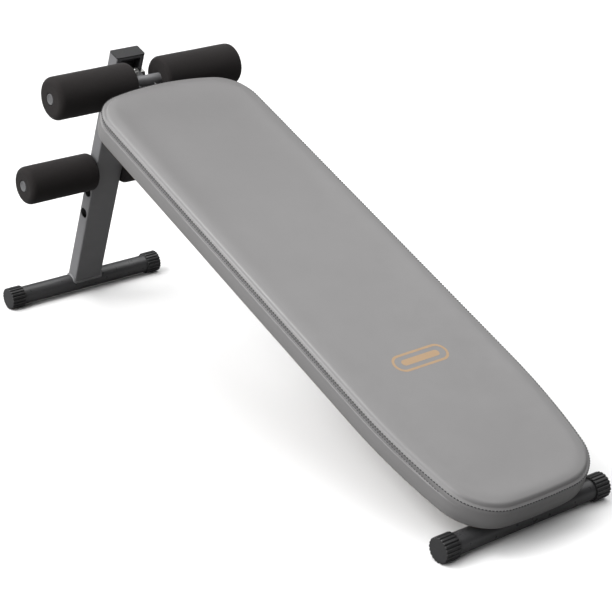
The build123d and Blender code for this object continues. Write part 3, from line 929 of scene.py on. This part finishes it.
def foot_cap(name, side, body):
    """A cap over a foot tube's end, with rounded ribs round it and a flat face."""
    low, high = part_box(name)
    outer = high.x if side > 0 else low.x
    centre_y = (low.y + high.y) / 2
    radius = (high.y - low.y) / 2
    origin = Vector((outer, centre_y, high.z - radius))
    axis = Vector((side, 0, 0))
    length = high.x - low.x
    profile = [(0.0, 0.0), (0.0, 0.008), (0.0, 0.0155), (0.0, 0.0182), (0.0, 0.0192)]
    outer_round, mouth_round = CAP_OUTER_ROUND, CAP_MOUTH_ROUND
    profile += arc_points((-outer_round, radius - outer_round), outer_round, 0, 90, 7)
    profile += [(-length * t, radius) for t in (0.2, 0.35, 0.5, 0.65, 0.8)]
    profile += arc_points((-length + mouth_round, radius - mouth_round), mouth_round, 90, 180, 5)
    profile += [(-length, 0.0196), (-length + 0.0003, 0.0191), (-length + 0.002, CAP_BORE)]
    profile += [(-0.0032, CAP_BORE), (-CAP_FACE_WALL, 0.0185), (-CAP_FACE_WALL, 0.0)]

    def ribbed(r, along, angle):
        """Valleys between the ribs, which run out where the cap narrows to its face."""
        turn = (angle + math.pi / 2) * CAP_RIBS / (2 * math.pi)
        off = abs(turn - round(turn)) * 2
        valley = max(0.0, 1 - ((1 - off) / VALLEY_WIDTH) ** 2) ** 1.3
        share = min(1.0, max(0.0, (r - RIB_FOOT) / (radius - RIB_FOOT)))
        return r - RIB_DEPTH * valley * share**1.2, along

    verts, faces = lathe(origin, axis, Vector((0, 1, 0)), profile, CAP_RIBS * CAP_SAMPLES, ribbed)
    for v in verts:
        v.z = max(v.z, low.z)
    piece = new_object(name + "_ribbed", verts, faces, BLACK_PLASTIC)
    settle_duplicates(piece)
    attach(piece, body)
    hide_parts(name)


for foot, body in (("rear", "post"), ("front", "bench")):
    for side_name, sign in (("left", -1), ("right", 1)):
        foot_cap(f"{foot}_foot_cap_{side_name}", sign, body)

# ------------------------------------------------------------------ bolts, nuts and screws


def hexagon(flats, angle):
    """Radius of a hexagon at an angle."""
    step = math.pi / 3
    return flats / 2 / math.cos((angle % step) - step / 2)


# Marks in place of a radius, for the rings that follow the hexagon.
CHAMFER, FLANK, UNDER_EDGE = -1.0, -2.0, -3.0
HEX_SEGMENTS = 72


def hex_piece(origin, axis, start_dir, flats, height, shank, shank_length):
    """A chamfered hexagon with a plain shank behind it. The shank goes against the axis."""
    top = flats / 2 * 0.95
    profile = [
        (height, 0.0),
        (height, top * 0.6),
        (height, top),
        (height, CHAMFER),
        (0.0004, FLANK),
        (0.0, UNDER_EDGE),
        (0.0, shank),
        (-shank_length + shank * 0.25, shank),
        (-shank_length, shank * 0.75),
        (-shank_length, 0.0),
    ]

    def shape(r, along, angle):
        full = hexagon(flats, angle)
        if r == CHAMFER:
            return full, height - (full - top) * math.tan(math.radians(30))
        if r == FLANK:
            return full, along
        if r == UNDER_EDGE:
            return full * 0.985, along
        return r, along

    return lathe(origin, axis, start_dir, profile, HEX_SEGMENTS, shape)


def add_fastener(name, parts, body, *replaced):
    """One object for a group of like fasteners."""
    verts, faces = joined(parts)
    piece = new_object(name, verts, faces, ZINC, smooth=False)
    settle_duplicates(piece)
    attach(piece, body)
    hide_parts(*replaced)


BEAM_TOP = -46.7
BEAM_WALL = 2.0
SADDLE_TOP = BEAM_TOP + 3.0
SADDLE_BOLT_X = 10.0
WASHER = 1.6
M10_FLATS = 0.017
M8_FLATS = 0.013
M6_FLATS = 0.010
NUT_BOSS = 0.0004

# The pivot's bolt head is on the left and its lock nut on the right.
pivot = middle("pivot_sleeve")
head_height = 0.0064
head_seat = Vector((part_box("pivot_bolt")[0].x + head_height, pivot.y, pivot.z))
bolt = hex_piece(head_seat, -ACROSS, PAD_ALONG, M10_FLATS, head_height, 0.005, 0.0829)
add_fastener("pivot_bolt_hex", [bolt], "post", "pivot_bolt")
nut_low, nut_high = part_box("pivot_lock_nut")
nut_seat = Vector((nut_low.x, pivot.y, pivot.z))
nut = hex_piece(nut_seat, ACROSS, PAD_ALONG, M10_FLATS, nut_high.x - nut_low.x, 0.0052, NUT_BOSS)
add_fastener("pivot_nut_hex", [nut], "post", "pivot_lock_nut")

saddle_along = (middle("saddle_washers") - PAD_CENTRE).dot(PAD_ALONG) / MM
nut_parts, bolt_parts = [], []
for x in (-SADDLE_BOLT_X, SADDLE_BOLT_X):
    seat = pad_point(x, saddle_along, SADDLE_TOP + WASHER)
    nut_parts.append(hex_piece(seat, PAD_NORMAL, ACROSS, M8_FLATS, 0.0065, 0.0042, NUT_BOSS))
    under = pad_point(x, saddle_along, BEAM_TOP - BEAM_WALL)
    bolt_parts.append(hex_piece(under, -PAD_NORMAL, ACROSS, M8_FLATS, 0.0053, 0.004, 0.0171))
add_fastener("saddle_nuts_hex", nut_parts, "bench", "saddle_nuts")
add_fastener("saddle_bolts_hex", bolt_parts, "bench", "saddle_bolts")

BRACKETS_ALONG = (-330.0, 330.0)
SCREW_X = 95.0
screw_parts = []
for along in BRACKETS_ALONG:
    for x in (-SCREW_X, SCREW_X):
        seat = pad_point(x, along, BEAM_TOP)
        screw_parts.append(hex_piece(seat, -PAD_NORMAL, ACROSS, M6_FLATS, 0.004, 0.003, 0.014))
add_fastener("pad_screws_hex", screw_parts, "bench", "pad_screws")

# ------------------------------------------------------------------ weld beads

WELD_RADIUS = 0.0026
WELD_STEP = 1.3
BEAM_HALF_WIDTH = 30.0
BEAM_DEPTH = 30.0


def bead(points, closed):
    """A weld bead with overlapping ripples."""
    phase = rng.uniform(0, 6.28)

    def ripple(i):
        return 1.0 + 0.16 * abs(math.sin(i * 0.9 + phase)) + 0.05 * math.sin(i * 0.23 + phase)

    return tube_along(points, WELD_RADIUS, closed, 8, ripple)


def rounded_rectangle(width, depth, corner, step):
    """Points round a rounded rectangle, about one step apart."""
    points = []
    for cx, cy, start in (
        (width / 2 - corner, depth / 2 - corner, 0),
        (-width / 2 + corner, depth / 2 - corner, 90),
        (-width / 2 + corner, -depth / 2 + corner, 180),
        (width / 2 - corner, -depth / 2 + corner, 270),
    ):
        for k in range(4):
            angle = math.radians(start + 30 * k)
            points.append((cx + corner * math.cos(angle), cy + corner * math.sin(angle)))
    dense = []
    for a, b in zip(points, points[1:] + points[:1]):
        count = max(1, round(math.dist(a, b) / step))
        for k in range(count):
            t = k / count
            dense.append((a[0] + (b[0] - a[0]) * t, a[1] + (b[1] - a[1]) * t))
    return dense


def post_weld():
    """Round the post's foot, where it is coped over the rear tube."""
    points = []
    for x, back in rounded_rectangle(66.6, 30.6, 3.3, WELD_STEP):
        up = math.sqrt((FOOT_RADIUS + 0.2) ** 2 - back**2)
        points.append(post_point(x, back, up))
    return bead(points, True)


def beam_weld():
    """Along the beam's sides and underside, where it is coped on the front tube."""
    foot = FRONT_FOOT - PAD_CENTRE
    foot_along, foot_out = foot.dot(PAD_ALONG) / MM, foot.dot(PAD_NORMAL) / MM
    edge = BEAM_HALF_WIDTH + 0.3
    low_out, high_out = BEAM_TOP - BEAM_DEPTH - 0.3, foot_out + FOOT_RADIUS - 0.1
    side_steps, under_steps = 17, 46
    side = [(edge, high_out + (low_out - high_out) * k / side_steps) for k in range(side_steps + 1)]
    under = [(edge - 2 * edge * k / under_steps, low_out) for k in range(1, under_steps)]
    points = []
    for x, out in side + under + [(-x, o) for x, o in reversed(side)]:
        reach = max(0.0, (FOOT_RADIUS + 0.1) ** 2 - (out - foot_out) ** 2)
        points.append(pad_point(x, foot_along + math.sqrt(reach), out))
    return bead(points, False)


def bracket_welds():
    """Short beads on both sides of the beam, under each pad bracket."""
    edge = BEAM_HALF_WIDTH + 0.4
    parts = []
    for middle_along in BRACKETS_ALONG:
        for x in (-edge, edge):
            places = [middle_along - 18 + WELD_STEP * k for k in range(29)]
            parts.append(bead([pad_point(x, along, BEAM_TOP - 0.6) for along in places], False))
    return joined(parts)


def weld_object(name, mesh, body):
    """A painted piece made of weld beads."""
    piece = new_object(name, *mesh, FRAME_PAINT, body)
    settle_duplicates(piece)


weld_object("post_foot_weld", post_weld(), "post")
weld_object("beam_foot_weld", beam_weld(), "bench")
weld_object("bracket_welds", bracket_welds(), "bench")

# ------------------------------------------------------------------ floor, light and camera

FLOOR_HALF = 40.0
FLOOR_BOUNCE = 0.24
FLOOR_SEEN = 0.77


def floor():
    """A wide pale floor that throws little light back up under the bench."""
    half = FLOOR_HALF
    corners = [(-half, -half, 0), (half, -half, 0), (half, half, 0), (-half, half, 0)]
    piece = new_object("floor", corners, [(0, 1, 2, 3)], smooth=False)
    s = Shader("floor_pale")
    path = s.tree.nodes.new("ShaderNodeLightPath")
    shade = s.mix(path.outputs["Is Camera Ray"], (FLOOR_BOUNCE,) * 3, (FLOOR_SEEN,) * 3)
    s.value("Roughness", 1.0)
    s.value("Specular IOR Level", 0.0)
    s.use(shade)
    piece.data.materials.append(s.material)


def sun(name, strength, spread, azimuth, elevation):
    """A soft distant light. Azimuth 0 comes from -Y, 90 from +X."""
    lamp = bpy.data.lights.new(name, "SUN")
    lamp.energy = strength
    lamp.angle = math.radians(spread)
    obj = bpy.data.objects.new(name, lamp)
    bpy.context.scene.collection.objects.link(obj)
    a, e = math.radians(azimuth), math.radians(elevation)
    towards = Vector((math.sin(a) * math.cos(e), -math.cos(a) * math.cos(e), math.sin(e)))
    obj.rotation_euler = towards.to_track_quat("Z", "Y").to_euler()


def world(ambient, seen):
    """Dim even surroundings that look pale to the camera."""
    w = bpy.data.worlds.new("studio")
    bpy.context.scene.world = w
    w.use_nodes = True
    tree = w.node_tree
    tree.nodes.clear()
    out = tree.nodes.new("ShaderNodeOutputWorld")
    mix = tree.nodes.new("ShaderNodeMixShader")
    path = tree.nodes.new("ShaderNodeLightPath")
    tree.links.new(path.outputs["Is Camera Ray"], mix.inputs[0])
    for strength, socket in ((ambient, mix.inputs[1]), (seen, mix.inputs[2])):
        background = tree.nodes.new("ShaderNodeBackground")
        background.inputs["Color"].default_value = (1, 1, 1, 1)
        background.inputs["Strength"].default_value = strength
        tree.links.new(background.outputs[0], socket)
    tree.links.new(mix.outputs[0], out.inputs["Surface"])


def softbox(name, watts, width, place, target):
    """A square soft light that faces a point."""
    lamp = bpy.data.lights.new(name, "AREA")
    lamp.energy = watts
    lamp.size = width
    obj = bpy.data.objects.new(name, lamp)
    bpy.context.scene.collection.objects.link(obj)
    obj.location = place
    obj.rotation_euler = (Vector(place) - Vector(target)).to_track_quat("Z", "Y").to_euler()


floor()
world(ambient=0.03, seen=1.0)
# name, strength, spread, azimuth, elevation
sun("top_back", 1.5, 60.0, 195.0, 64.0)
sun("top_right", 1.45, 70.0, 70.0, 78.0)
sun("left_low", 3.45, 80.0, -104.0, 25.0)
sun("left_high", 0.9, 60.0, -72.0, 45.0)
sun("right_low", 0.6, 60.0, 95.0, 20.0)
# name, watts, width, place, target
softbox("sheen", 4.5, 1.2, (1.5, 0.3, 2.25), (0.0, -0.15, 0.3))
softbox("edge_strip", 16.0, 0.45, (-1.45, 0.45, 2.1), (-0.17, -0.17, 0.3))

camera = bpy.data.objects.new("camera", bpy.data.cameras.new("camera"))
bpy.context.scene.collection.objects.link(camera)
camera.location = (-2.0238, -2.66995, 1.5547)
camera.rotation_euler = (math.radians(67.753), 0.0, math.radians(-38.081))
camera.data.lens = 113.135
camera.data.sensor_width = 36.0
bpy.context.scene.camera = camera
bpy.context.scene.view_settings.view_transform = "Standard"
